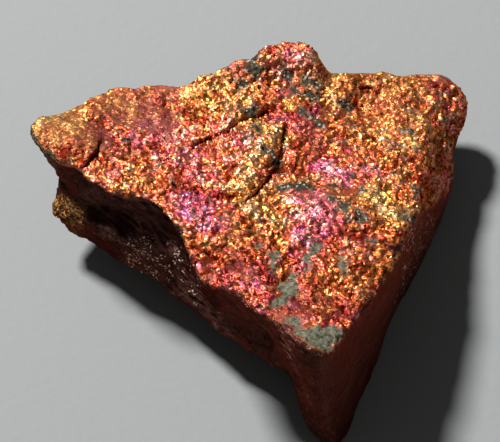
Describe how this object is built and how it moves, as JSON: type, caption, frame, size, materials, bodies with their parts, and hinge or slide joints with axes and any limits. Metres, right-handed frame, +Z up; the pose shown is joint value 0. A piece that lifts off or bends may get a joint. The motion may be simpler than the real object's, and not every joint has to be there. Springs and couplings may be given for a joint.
{
  "type": "peacock ore",
  "caption": "Rough wedge of tarnished copper ore with a tilted, glittering fracture face and a hollowed front wall, resting on a small flat spot.",
  "frame": {"origin": "on the ground under the middle of the stone's bounding box", "axes": "+Z up, on the fracture face's side; -Y towards the stone's front corner, +X towards its rounded right lobe"},
  "size_m": [0.049, 0.0456, 0.0199],
  "materials": {
    "tarnished_ore": "granular metallic tarnish, gold to crimson and magenta, with dull grey-green matrix and dark brown broken sides"
  },
  "bodies": {
    "root": {"peacock_ore": "tarnished_ore"}
  },
  "joints": []
}
